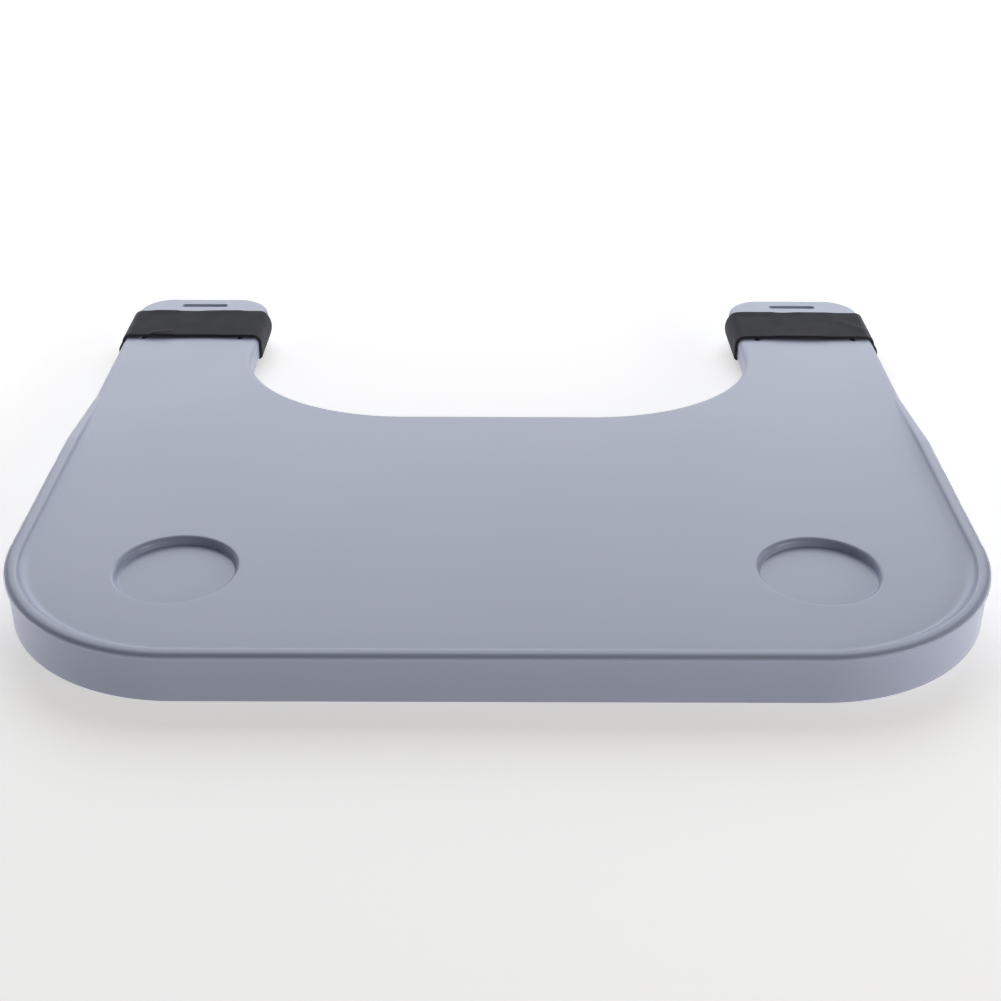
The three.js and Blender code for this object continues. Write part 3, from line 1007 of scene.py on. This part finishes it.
@dataclass
class Strap:
    """One hook-and-loop strap: its band round the arm, free end, patches and stitching.

    Attributes:
        hinge: A point of the line at which the free end bends. It is not used.
        gap: The clearance between the strap and what it lies on.
        bulge: How far the band swells out beside the arm's outer side.
        inner_bulge: The same beside its inner side.
        inner_side_width: How far from the arm's inner side the webbing counts as beside it.
        cross_step_ratio: How much longer the mesh's steps across are than those along.
        squareness: The power in the rounding of the webbing's edges.
        loose_from, loose_to: The heights between which the webbing leaves the arm's side.
        pile_border: How wide a sewn border the loops and hooks keep clear of.
        stitch_share: Half of a stitch's length over the stitches' pitch.
        stitch_spread: Half of its width and of its height over the thread's radius.
        loop_shift_share: How far a loop may stand off its row, over the loops' pitch.
        loop_lean: How far a loop may lean, in radians.
        hook_crook_share: The radius of a hook's crook over its height.
        hook_bend: The angles round the crook's centre, in degrees, at which it starts and ends.
        hook_tip_share: The radius of a hook's tip over its stem's.
    """

    side: Side
    tray: Tray
    hinge: Vector
    folds: tuple[Fold, ...]
    cloth: Dressing
    pile: Dressing
    hooks: Dressing
    thread: Dressing
    width: float = 50 * MM
    thickness: float = 2.2 * MM
    gap: float = 0.3 * MM
    bulge: float = 3.4 * MM
    inner_bulge: float = 1.6 * MM
    inner_side_width: float = 4 * MM
    turn_radius: float = 3 * MM
    patch_thickness: float = 1 * MM
    tail_length: float = 88 * MM
    tail_root_inset: float = 4 * MM
    tail_corner_cut: float = 5 * MM
    loop_patch_length: float = 80 * MM
    loop_patch_inset: float = 12 * MM
    hook_patch_length: float = 62 * MM
    hook_patch_inset: float = 10 * MM
    patch_margin: float = 1.5 * MM
    tape_thickness: float = 0.5 * MM
    bend_length: float = 3.2 * MM
    mesh_step: float = 0.8 * MM
    cross_step_ratio: float = 1.3
    squareness: float = 4.0
    slack: float = 0.25 * MM
    slack_wave_round: float = 17 * MM
    slack_wave_across: float = 11 * MM
    edge_wave: float = 0.5 * MM
    edge_wave_round: float = 13 * MM
    loose_from: float = -2 * MM
    loose_to: float = 1 * MM
    seam_inset: float = 2.5 * MM
    pile_border: float = 4 * MM
    stitch_pitch: float = 3 * MM
    stitch_share: float = 0.42
    stitch_spread: Pair = (1.6, 1.3)
    thread_radius: float = 0.13 * MM
    loop_radius: float = 0.5 * MM
    loop_pitch: float = 1.25 * MM
    loop_shift_share: float = 0.3
    loop_lean: float = 0.5
    hook_height: float = 0.6 * MM
    hook_radius: float = 0.12 * MM
    hook_crook_share: float = 1 / 3
    hook_bend: Pair = (150.0, 10.0)
    hook_tip_share: float = 0.45
    hook_pitch: float = 1.5 * MM

    def __post_init__(self) -> None:
        """Works out the levels of the layers under the arm, at their middles."""
        self.half = self.tray.arm_width / 2
        self.off = self.gap + self.thickness / 2
        self.lower_run = -self.tray.arm_skirt_depth - self.off
        self.loop_level = self.lower_run - self.thickness / 2 - self.gap - self.patch_thickness / 2
        self.hook_level = self.loop_level - self.gap - self.patch_thickness
        self.tail_level = self.hook_level - self.patch_thickness / 2 - self.off
        self.tail_root = self.half - self.tail_root_inset
        self.body = f"{self.side.label}_strap"
        self.tab = f"{self.side.label}_strap_tab"

    def placed(self, u: Array, y: Array, z: Array) -> Array:
        """Points of the strap's own section in the part's frame.

        Args:
            u: Distance from the arm's middle, away from the tray's middle.
            y: Distance from the strap's middle line, towards the arm's tip.
            z: Height from the flat top.

        Returns:
            An array whose last axis is x, y, z.
        """
        x = self.side.value * (self.tray.arm_centre + u)
        return np.stack(np.broadcast_arrays(x, y + self.tray.strap_y, z + self.tray.top), axis=-1)

    def band_line(self) -> Array:
        """The middle line of the band, from the end of its lower run to the fold of its free end.

        It goes under the arm, up its inner side, over the top, down the outer side, where it
        bulges by half a sine wave, and round into the free end.

        Returns:
            Rows of u and z, the mesh step apart.
        """
        edge, off = self.tray.edge_radius, self.off
        foot = self.tray.skirt_edge_radius + off
        side_foot = self.tail_level + self.turn_radius
        share = np.linspace(0.0, 1.0, 25)[1:-1]
        outer = np.stack([
            self.half + off + self.bulge * np.sin(math.pi * share),
            -edge + (side_foot + edge) * share,
        ], axis=1)
        turn_u = self.half + off - self.turn_radius
        line = np.concatenate([
            [[self.half - self.tray.wall / 2, self.lower_run]],
            arc((foot - self.half - off, self.lower_run + foot), foot, 270, 180, 12),
            arc((edge - self.half, -edge), edge + off, 180, 90, 16),
            arc((self.half - edge, -edge), edge + off, 90, 0, 16),
            outer,
            arc((turn_u, side_foot), self.turn_radius, 0, -90, 14),
        ])
        return self.resampled(line)

    def resampled(self, line: Array) -> Array:
        """The same line with its points about the mesh step apart.

        Args:
            line: Rows of u and z.

        Returns:
            Rows of u and z, spread evenly along the line.
        """
        length = run_length(line)
        even = np.linspace(0.0, length[-1], int(length[-1] / self.mesh_step) + 1)
        return np.stack([np.interp(even, length, line[:, k]) for k in (0, 1)], axis=1)

    def across(self) -> Array:
        """Places across the strap, even on the flat and at reach - edge (1 - sin a) on its edges.

        Returns:
            Shares of the half width, from -1 to 1.
        """
        reach, edge = self.width / 2, self.thickness / 2
        flat = np.linspace(edge - reach, reach - edge, self.cross_count(self.width))
        round_off = reach - edge + edge * np.sin(BAND_EDGE_ANGLES)
        return np.concatenate([-round_off[::-1], flat, round_off]) / reach

    def cross_count(self, width: float) -> int:
        """How many points stand across a flat of that width."""
        return int(width / self.mesh_step / self.cross_step_ratio)

    def loosened(self, line: Array) -> Array:
        """How free each point of the middle line is to move: 0 beside the arm and 1 on top."""
        return smooth(line[:, 1:2], self.loose_from, self.loose_to)

    def rounding(self, depth: Array, edge: float) -> Array:
        """How the half thickness falls off over an edge: (1 - e^p)^(1/p), e from 0 to 1 over it.

        Args:
            depth: How far each point lies from the edge.
            edge: The depth at which the full thickness is reached.

        Returns:
            A share of the half thickness.
        """
        beyond = np.clip(1.0 - depth / edge, 0.0, 1.0)
        return np.maximum(1.0 - beyond ** self.squareness, 0.0) ** (1.0 / self.squareness)

    def displacement(self, around: Array, back: Array, line: Array) -> Array:
        """How far the webbing stands off its middle line: folds, slack and the inner bulge.

        Slack is a slow wave round the strap times another across it. The inner bulge is half
        a sine wave down the arm's inner side that grows from the front edge to the back one.

        Args:
            around: Distance round the strap from the middle of the arm's top, one for a row.
            back: Distance from the strap's front edge, one for a column.
            line: The middle line, rows of u and z.

        Returns:
            An array of rows x columns.
        """
        a, b = around[:, None], back[None, :]
        raised = sum(fold.swell(a, b) for fold in self.folds)
        wave_round = np.sin(a / self.slack_wave_round + self.side.value)
        wave = 1.0 + wave_round * np.sin(b / self.slack_wave_across + 1.0)
        foot, head = self.lower_run, -self.tray.edge_radius / 2
        share = np.clip((line[:, 1:2] - foot) / (head - foot), 0.0, 1.0)
        on_inner = (line[:, 0:1] < self.inner_side_width - self.half) & (line[:, 1:2] > foot)
        bulge = self.inner_bulge * np.sin(math.pi * share) * on_inner * smooth(b, 0.0, self.width)
        return (raised + self.slack / 2 * wave) * self.loosened(line) + bulge

    def band(self) -> bpy.types.Object:
        """Builds the band: two sheets half a thickness off the middle surface, rounded together.

        The half thickness falls off towards the sides and the free edge. The sides also ripple
        by a sine wave round the strap, times the cube of the share across.

        Returns:
            The band.
        """
        line = self.band_line()
        step = np.gradient(line, axis=0)
        length = run_length(line)
        normal = np.stack([-step[:, 1], step[:, 0]], axis=1)
        normal /= np.linalg.norm(normal, axis=1, keepdims=True)
        on_top = np.flatnonzero(line[:, 1] > self.off - self.gap / 2)
        around = length - length[on_top].mean()
        share = self.across()
        y = share * self.width / 2
        back = y + self.width / 2
        off = self.displacement(around, back, line)
        ripple = self.edge_wave * np.sin(around / self.edge_wave_round + self.side.value)
        ripple = ripple[:, None] * share[None] ** 3 * self.loosened(line)
        edge = self.thickness / 2
        half = edge * self.rounding(self.width / 2 - abs(y), edge)[None]
        half = half * self.rounding(length, edge)[:, None]
        uv = np.stack(np.broadcast_arrays(length[:, None], back[None]), axis=-1)
        surface = Surface()
        ends = []
        for sign in (1.0, -1.0):
            reach = off + sign * half
            u = line[:, 0:1] + normal[:, 0:1] * reach
            z = line[:, 1:2] + normal[:, 1:2] * reach
            sheet = self.placed(u, y[None] + ripple, z)
            surface.add_grid(sheet, uv=uv)
            ends.append(sheet[-1])
        surface.add_grid(np.stack(ends))
        piece = self.dressed(surface.build(f"{self.side.label}_webbing_band"), self.cloth)
        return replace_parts(piece, f"{self.side.label}_strap_band")

    def tape(self, u_from: float, u_to: float, level: float, thickness: float, width: float,
             cut: float = 0.0, open_end: bool = False) -> Surface:
        """A flat length of tape across the arm, with rounded edges.

        Its width is kept by a share across, which narrows over the last stretch where the
        corners are cut: half width - max(0, cut - distance from the end).

        Args:
            u_from: The end nearer the tray's middle.
            u_to: The end away from it.
            level: The height of its middle.
            thickness: Its thickness.
            width: Its width.
            cut: How much is cut off the two corners at u_from.
            open_end: Whether the end at u_to is cut square, to meet more webbing.

        Returns:
            The surface, ready to build.
        """
        edge, length = thickness / 2, u_to - u_from
        turns = edge * (1.0 - np.cos(TAPE_EDGE_ANGLES))
        flat = np.linspace(edge, length - (0.0 if open_end else edge), int(length / self.mesh_step))
        far = [] if open_end else length - turns[::-1][1:]
        from_end = np.concatenate([turns[:-1], flat, far])
        reach = width / 2 - np.maximum(0.0, cut - from_end)
        lines = np.linspace(edge - width / 2, width / 2 - edge, self.cross_count(width))
        sides = width / 2 - turns[:-1]
        share = np.concatenate([-sides, lines, sides[::-1]]) / (width / 2)
        y = share[None] * reach[:, None]
        half = edge * self.rounding(reach[:, None] - abs(y), edge)
        half = half * self.rounding(from_end, edge)[:, None]
        if not open_end:
            half = half * self.rounding(length - from_end, edge)[:, None]
        u = u_from + from_end[:, None]
        uv = np.stack(np.broadcast_arrays(u, y), axis=-1)
        surface = Surface()
        sheets = [self.placed(u, y, level + sign * half) for sign in (1.0, -1.0)]
        for sheet in sheets:
            surface.add_grid(sheet, uv=uv)
        if open_end:
            surface.add_grid(np.stack([sheet[-1] for sheet in sheets]))
        return surface

    def tail(self) -> bpy.types.Object:
        """Builds the free end, which meets the band where its turn ends.

        Returns:
            The free end.
        """
        join = self.half + self.off - self.turn_radius
        surface = self.tape(self.tail_root - self.tail_length, join, self.tail_level,
                            self.thickness, self.width, self.tail_corner_cut, open_end=True)
        piece = surface.build(f"{self.side.label}_webbing_free_end")
        self.cloth.put_on(piece)
        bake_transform(piece)
        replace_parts(piece, f"{self.side.label}_strap_tail")
        return piece

    def loop_patch(self) -> list[bpy.types.Object]:
        """Builds the loop patch under the lower run: its tape and its pile of small loops.

        A loop is a half circle of thread, leaning and turned at random, whose section has
        three corners: ((r + s sin b) cos a, s cos b, -(r + s sin b) sin a), with r as the
        loop's radius and s as the thread's.

        Returns:
            The tape and the pile.
        """
        end = self.half - self.loop_patch_inset
        start = end - self.loop_patch_length
        width = self.width - 2 * self.patch_margin
        face = self.lower_run - self.thickness / 2
        tape = self.tape(start, end, face - self.tape_thickness / 2, self.tape_thickness, width)
        around, section = np.radians(np.linspace(0, 180, 6)), np.radians([90, 210, 330])
        ring = self.loop_radius + self.thread_radius * np.sin(section)[None]
        shape = np.stack(np.broadcast_arrays(
            ring * np.cos(around)[:, None],
            self.thread_radius * np.cos(section)[None],
            -ring * np.sin(around)[:, None],
        ), axis=-1).reshape(-1, 3)
        spots = self.spots(start, end, width, self.loop_pitch)
        draw = np.random.default_rng(PILE_SEEDS[self.side])
        shift = self.loop_shift_share
        spots += draw.uniform(-shift, shift, spots.shape) * self.loop_pitch
        turn = draw.uniform(0.0, math.tau, len(spots))
        lean = draw.uniform(-self.loop_lean, self.loop_lean, len(spots))
        axes = self.frames(turn, lean)
        places = self.placed(spots[:, 0], spots[:, 1], np.full(len(spots), face - self.tape_thickness))
        corners, last = len(section), len(section) * (len(around) - 1)
        ends = np.array([[0, 2, 1], [last, last + 1, last + 2]])
        pile = Surface()
        for faces in (grid_faces(len(around), corners, True), ends):
            pile.add_copies(shape, faces, places, axes)
        label = self.side.label
        pieces = [
            self.dressed(tape.build(f"{label}_loop_tape"), self.pile),
            self.dressed(pile.build(f"{label}_loop_pile"), self.pile),
        ]
        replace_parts(pieces[0], f"{label}_strap_loop_patch")
        return pieces

    def hook_patch(self) -> list[bpy.types.Object]:
        """Builds the hook patch on the free end: its tape and its rows of small hooks.

        A hook is a stem with four corners that rises and bends over along an arc: line +
        radius * (cos c * normal, sin c), thinner towards its tip. Every second row faces the
        other way.

        Returns:
            The tape and the hooks.
        """
        end = self.tail_root - self.hook_patch_inset
        start = end - self.hook_patch_length
        width = self.width - 2 * self.patch_margin
        face = self.tail_level + self.thickness / 2
        tape = self.tape(start, end, face + self.tape_thickness / 2, self.tape_thickness, width)
        crook = self.hook_height * self.hook_crook_share
        line = np.concatenate([
            straight((0.0, 0.0), (0.0, self.hook_height - crook), 2),
            arc((crook, self.hook_height - crook), crook, *self.hook_bend, 4),
        ])
        step = np.gradient(line, axis=0)
        step /= np.linalg.norm(step, axis=1, keepdims=True)
        radius = np.linspace(1.0, self.hook_tip_share, len(line))[:, None] * self.hook_radius
        corner = np.radians([45, 135, 225, 315])
        shape = np.stack([
            line[:, 0:1] - step[:, 1:2] * radius * np.cos(corner),
            radius * np.sin(corner),
            line[:, 1:2] + step[:, 0:1] * radius * np.cos(corner),
        ], axis=-1).reshape(-1, 3)
        count, last = len(corner), len(corner) * (len(line) - 1)
        ends = np.array([[0, 3, 2, 1], last + np.arange(count)])
        faces = np.concatenate([grid_faces(len(line), count, True), ends])
        spots = self.spots(start, end, width, self.hook_pitch)
        row = np.round((spots[:, 1] - spots[:, 1].min()) / self.hook_pitch)
        axes = self.frames(math.pi * (row % 2), np.zeros(len(spots)))
        places = self.placed(spots[:, 0], spots[:, 1], np.full(len(spots), face + self.tape_thickness))
        hooks = Surface()
        hooks.add_copies(shape, faces, places, axes)
        label = self.side.label
        pieces = [
            self.dressed(tape.build(f"{label}_hook_tape"), self.hooks, self.tab),
            self.dressed(hooks.build(f"{label}_hooks"), self.hooks, self.tab),
        ]
        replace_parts(pieces[0], f"{label}_strap_hook_patch")
        return pieces

    def spots(self, start: float, end: float, width: float, pitch: float) -> Array:
        """Places in even rows over a patch, clear of its sewn border.

        Args:
            start: The patch's end nearer the tray's middle.
            end: Its other end.
            width: Its width.
            pitch: How far apart the places are, both ways.

        Returns:
            Rows of u and y.
        """
        border = self.pile_border
        u = np.arange(start + border, end - border, pitch)
        y = np.arange(border - width / 2, width / 2 - border, pitch)
        return np.stack(np.meshgrid(u, y, indexing="ij"), axis=-1).reshape(-1, 2)

    def frames(self, turn: Array, lean: Array) -> Array:
        """Three axes for each copy of a small shape, turned about Z and leaning about its own X.

        Args:
            turn: Each copy's turn, in radians.
            lean: Each copy's lean, in radians.

        Returns:
            An array of copies x 3 x 3, with an axis in each row.
        """
        c, s, d, e = np.cos(turn), np.sin(turn), np.cos(lean), np.sin(lean)
        return np.stack([
            np.stack([c, s, np.zeros_like(c)], axis=-1),
            np.stack([-s * d, c * d, e], axis=-1),
            np.stack([s * e, -c * e, d], axis=-1),
        ], axis=1)

    def seam(self, start: float, end: float, levels: tuple[float, float]) -> Surface:
        """A box of stitches round a patch, on both faces of what it holds.

        A stitch is a flattened grain of rice: (a cos p, b sin p cos q, c sin p sin q), with
        half of its length, width and height as a, b and c.

        Args:
            start: The patch's end nearer the tray's middle.
            end: Its other end.
            levels: The heights of the two faces that the thread lies on.

        Returns:
            The stitches' surface.
        """
        low = np.array([start + self.seam_inset, self.seam_inset - self.width / 2 + self.patch_margin])
        high = np.array([end - self.seam_inset, -low[1]])
        corners = np.array([low, (high[0], low[1]), high, (low[0], high[1])])
        places, turns = [], []
        for k, (corner, after) in enumerate(zip(corners, np.roll(corners, -1, axis=0))):
            reach = np.linalg.norm(after - corner)
            count = int(round(reach / self.stitch_pitch))
            places.append(straight(corner, after, count)[:-1] + (after - corner) / count / 2)
            turns.append(np.full(count, k * math.pi / 2))
        spots, turn = np.concatenate(places), np.concatenate(turns)
        p, q = np.radians(np.linspace(0, 180, 7))[:, None], np.radians(np.arange(0, 360, 60))[None]
        wide, tall = self.stitch_spread
        shape = np.stack(np.broadcast_arrays(
            self.stitch_pitch * self.stitch_share * np.cos(p),
            self.thread_radius * wide * np.sin(p) * np.cos(q),
            self.thread_radius * tall * np.sin(p) * np.sin(q),
        ), axis=-1).reshape(-1, 3)
        faces = grid_faces(p.size, q.size, True)
        surface = Surface()
        for level in levels:
            where = self.placed(spots[:, 0], spots[:, 1], np.full(len(spots), level))
            axes = self.frames(turn * self.side.value, np.zeros(len(turn)))
            surface.add_copies(shape, faces, where, axes)
        return surface

    def stitching(self) -> list[bpy.types.Object]:
        """Builds the sewing thread that holds the two patches.

        Returns:
            The stitches of the loop patch and of the hook patch.
        """
        loop_end = self.half - self.loop_patch_inset
        hook_end = self.tail_root - self.hook_patch_inset
        run, edge = self.lower_run, self.thickness / 2
        loop_seam = self.seam(loop_end - self.loop_patch_length, loop_end,
                              (run + edge, run - edge - self.tape_thickness))
        hook_seam = self.seam(hook_end - self.hook_patch_length, hook_end,
                              (self.tail_level - edge, self.tail_level + edge + self.tape_thickness))
        label = self.side.label
        return [
            self.dressed(loop_seam.build(f"{label}_loop_seam"), self.thread),
            self.dressed(hook_seam.build(f"{label}_hook_seam"), self.thread, self.tab),
        ]

    def build(self) -> list[bpy.types.Object]:
        """Builds all the pieces of the strap."""
        return [self.band(), self.tail(), *self.loop_patch(), *self.hook_patch(), *self.stitching()]

    def dressed(self, piece: bpy.types.Object, dressing: Dressing, body: str = "") -> bpy.types.Object:
        """Gives a piece its material and lets it ride.

        Args:
            piece: The piece.
            dressing: Its material and slot.
            body: The body that it rides on, or the strap's own where none is given.

        Returns:
            The piece.
        """
        dressing.put_on(piece)
        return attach(piece, body or self.body)


# The lights' two shades of white, as red, green and blue.
COOL = (0.955, 0.985, 1.05)
WARM = (1.03, 1.0, 0.94)


@dataclass(frozen=True)
class Softbox:
    """A plain oblong light that points at the tray, and that the camera can't see."""

    name: str
    place: tuple[float, float, float]
    size: Pair
    watts: float
    colour: tuple[float, float, float]
    aim: tuple[float, float, float] = (0.0, 0.0, 0.02)

    def build(self) -> bpy.types.Object:
        """Builds the light.

        Returns:
            The light.
        """
        data = bpy.data.lights.new(self.name, "AREA")
        data.shape = "RECTANGLE"
        data.size, data.size_y = self.size
        data.energy = self.watts
        data.color = self.colour
        light = bpy.data.objects.new(self.name, data)
        light.location = self.place
        light.rotation_euler = (Vector(self.aim) - light.location).to_track_quat("-Z", "Y").to_euler()
        light.visible_camera = False
        bpy.context.scene.collection.objects.link(light)
        return light


@dataclass(frozen=True)
class Studio:
    """A pale floor inside a round grey wall, both glowing a little, under soft lights.

    Four broad lights stand one above another from overhead down to low behind the tray. A
    weaker one stands beside the arms on each side, and one at the front right. A faint one
    fills the front from above, and a low strip stands along each side.
    """

    floor_radius: float = 6.0
    wall_height: float = 3.0
    wall_colour: Colour = (0.05, 0.05, 0.05, 1.0)
    wall_glow: float = 0.30
    floor_colour: Colour = (0.86, 0.86, 0.87, 1.0)
    glow_colour: Colour = (0.88, 0.86, 0.82, 1.0)
    floor_glow: float = 0.53
    roughness: float = 0.9
    turn_steps: int = 96
    lights: tuple[Softbox, ...] = (
        Softbox("overhead_softbox", (0.0, 0.3, 2.2), (2.4, 1.2), 1.5, COOL),
        Softbox("high_back_softbox", (0.0, 1.6, 2.1), (2.6, 0.8), 15.0, COOL),
        Softbox("back_softbox", (0.0, 2.2, 1.6), (3.0, 0.8), 21.5, COOL),
        Softbox("low_back_softbox", (0.0, 2.2, 0.75), (3.2, 0.8), 18.0, COOL),
        Softbox("left_back_softbox", (-1.8, 0.45, 0.7), (1.4, 1.0), 2.0, COOL),
        Softbox("right_back_softbox", (1.8, 0.45, 0.7), (1.4, 1.0), 3.0, COOL),
        Softbox("front_softbox", (0.0, -1.7, 1.5), (2.0, 1.0), 0.3, WARM),
        Softbox("left_strip", (-0.56, 0.1, 0.0135), (0.8, 0.023), 0.7, WARM, (0.0, 0.1, 0.0135)),
        Softbox("right_strip", (0.56, 0.1, 0.0135), (0.8, 0.023), 0.7, WARM, (0.0, 0.1, 0.0135)),
        Softbox("front_right_softbox", (1.9, -1.2, 0.5), (1.0, 0.6), 12.0, WARM),
    )

    def sheet(self, name: str, profile: Array, colour: Colour, glow: float) -> bpy.types.Object:
        """Builds a round sheet that isn't part of the object.

        Args:
            name: Its name.
            profile: Rows of radius and height.
            colour: Its colour.
            glow: How strongly it glows.

        Returns:
            The sheet.
        """
        surface = Surface()
        surface.add_grid(turned(profile, (0.0, 0.0, 0.0), self.turn_steps), closed=True)
        made = surface.build(name)
        made.data.materials.append(Shader(name).finish({
            "Base Color": colour,
            "Roughness": self.roughness,
            "Emission Color": self.glow_colour,
            "Emission Strength": glow,
        }))
        made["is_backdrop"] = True
        return made

    def build(self) -> None:
        """Builds the floor, the wall and the lights, under a sky that sheds no light."""
        reach = self.floor_radius
        flat = straight((0.0, 0.0), (reach, 0.0), 4)
        upright = straight((reach, 0.0), (reach, self.wall_height), 2)
        self.sheet("floor", flat, self.floor_colour, self.floor_glow)
        self.sheet("wall", upright, self.wall_colour, self.wall_glow)
        for light in self.lights:
            light.build()
        world = bpy.data.worlds.new("sky")
        world.use_nodes = True
        world.node_tree.nodes["Background"].inputs["Strength"].default_value = 0.0
        bpy.context.scene.world = world
        bpy.context.scene.view_settings.view_transform = "Standard"


@dataclass(frozen=True)
class PhotoCamera:
    """The photograph's camera, as fitted to the tray's outline at its real size.

    Angles are in degrees: pitch is how far it looks down, yaw its turn to the left and roll
    its lean. The focal length is in pixels of the photograph's frame.
    """

    focal_pixels: float = 1547.1
    frame_pixels: float = 1001.0
    sensor_width: float = 36.0
    pitch: float = 29.713
    yaw: float = -0.11
    roll: float = 0.228
    before_front: float = 706.38 * MM
    above_top: float = 508.48 * MM

    def build(self, tray: Tray) -> bpy.types.Object:
        """Builds the camera.

        Its axes are right (cos yaw, sin yaw, 0), forward (-sin yaw, cos yaw, 0) tipped down by
        the pitch, and up square to both, the first and the last leaning by the roll.

        Args:
            tray: The tray, whose front edge and flat top the camera's place is measured from.

        Returns:
            The camera.
        """
        pitch, yaw, roll = (math.radians(a) for a in (self.pitch, self.yaw, self.roll))
        right = Vector((math.cos(yaw), math.sin(yaw), 0.0))
        level = Vector((-math.sin(yaw), math.cos(yaw), 0.0))
        forward = level * math.cos(pitch) - Vector((0.0, 0.0, math.sin(pitch)))
        up = level * math.sin(pitch) + Vector((0.0, 0.0, math.cos(pitch)))
        side = right * math.cos(roll) + up * math.sin(roll)
        top = up * math.cos(roll) - right * math.sin(roll)
        data = bpy.data.cameras.new("photo_camera")
        data.sensor_width = self.sensor_width
        data.lens = self.focal_pixels / self.frame_pixels * self.sensor_width
        camera = bpy.data.objects.new("photo_camera", data)
        place = Vector((0.0, tray.low.y - self.before_front, tray.top + self.above_top))
        turn = Matrix((side, top, -forward)).transposed().to_4x4()
        camera.matrix_world = Matrix.Translation(place) @ turn
        bpy.context.scene.collection.objects.link(camera)
        bpy.context.scene.camera = camera
        return camera


def write_sizes(packed: tuple[Vector, Vector], dressed: tuple[Vector, Vector]) -> None:
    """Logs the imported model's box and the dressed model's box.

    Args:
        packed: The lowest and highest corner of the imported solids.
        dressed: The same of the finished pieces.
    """
    log.info("packed %s to %s, dressed %s to %s", *packed, *dressed)


def main() -> None:
    """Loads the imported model, builds the camera, studio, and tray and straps."""
    logging.basicConfig(level=logging.INFO, format="%(name)s: %(message)s")
    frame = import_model()
    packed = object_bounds()
    tray = Tray(*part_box("tray_shell"))
    PhotoCamera().build(tray)
    Studio().build()
    tray.build()
    hinges = {j["name"]: Vector(j["pos_m"]) for j in frame["joints"] if j["type"] == "hinge"}
    finishes = (Webbing(), LOOP_PILE, HOOK_TAPE, THREAD)
    dressings = [Dressing(finish.material(), finish.slot) for finish in finishes]
    for side, folds in ((Side.LEFT, LEFT_FOLDS), (Side.RIGHT, RIGHT_FOLDS)):
        Strap(side, tray, hinges[f"{side.label}_tab_peel"], folds, *dressings).build()
    write_sizes(packed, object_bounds())


if __name__ == "__main__":
    main()
